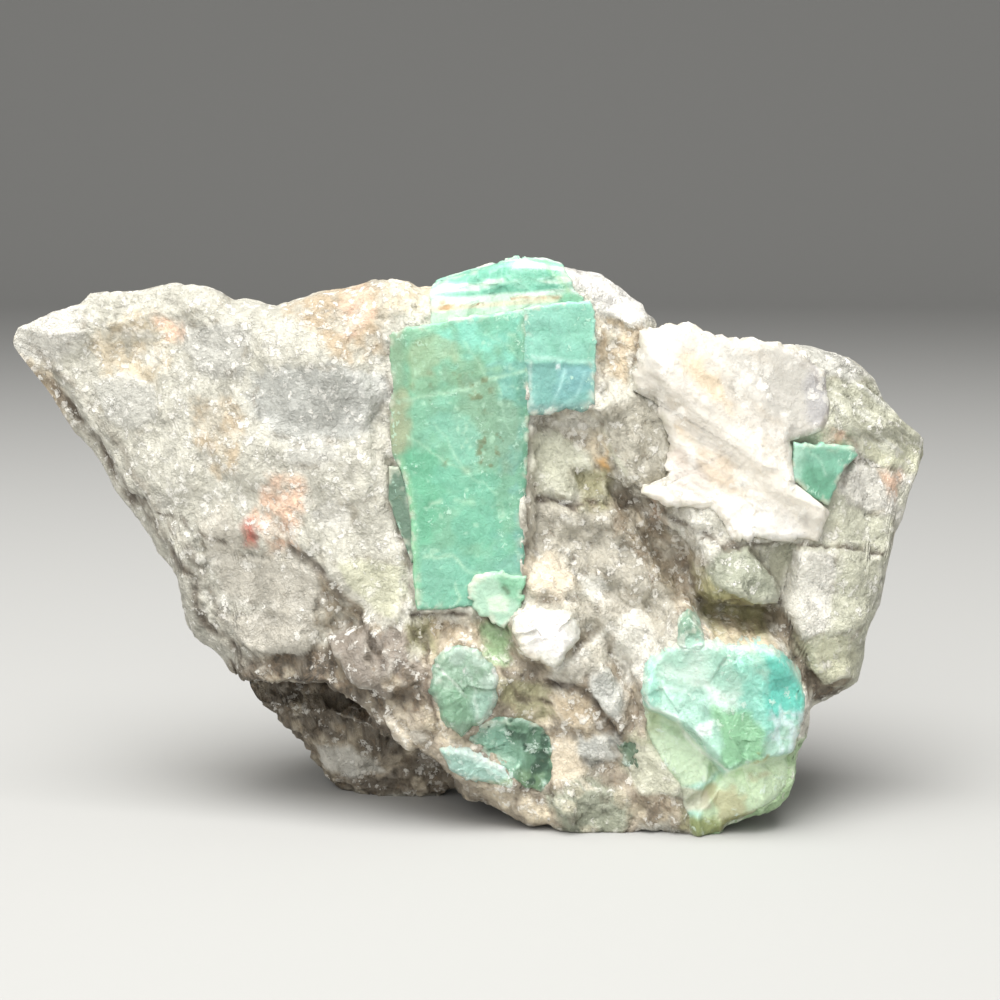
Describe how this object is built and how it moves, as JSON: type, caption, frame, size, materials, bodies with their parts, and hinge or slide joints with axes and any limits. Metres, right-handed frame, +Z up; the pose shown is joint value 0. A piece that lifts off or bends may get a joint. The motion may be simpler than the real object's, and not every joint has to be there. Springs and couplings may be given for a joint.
{
  "type": "mineral specimen",
  "caption": "Broken lump of grey quartz and feldspar rock with pale green emerald and beryl crystals set in its front face, resting on its lower edge.",
  "frame": {"origin": "centre of the bounding box's footprint, on the ground plane", "axes": "+X along the longest side, from the pointed end towards the feldspar end; +Z up as it rests; the crystals face -Y"},
  "size_m": [0.079, 0.0336, 0.0463],
  "materials": {
    "matrix": "rough broken grey quartz, cream feldspar and dark mica, with tan weathering",
    "feldspar": "white to cream cleaved feldspar, satin",
    "quartz": "clear grey quartz, glassy breaks",
    "emerald": "milky green emerald, glossy crystal faces with healed cracks",
    "pale_beryl": "pale aqua to yellow-green beryl, waxy to glassy"
  },
  "bodies": {
    "root": {"beryl_dark": "pale_beryl", "beryl_lower_right": "pale_beryl", "beryl_pale_rim": "pale_beryl", "beryl_rounded": "pale_beryl", "beryl_speck": "pale_beryl", "emerald_chip": "emerald", "emerald_crown": "emerald", "emerald_prism": "emerald", "emerald_side": "emerald", "emerald_small_right": "emerald", "feldspar_block": "feldspar", "matrix_rock": "matrix", "quartz_grain": "quartz"}
  },
  "joints": []
}
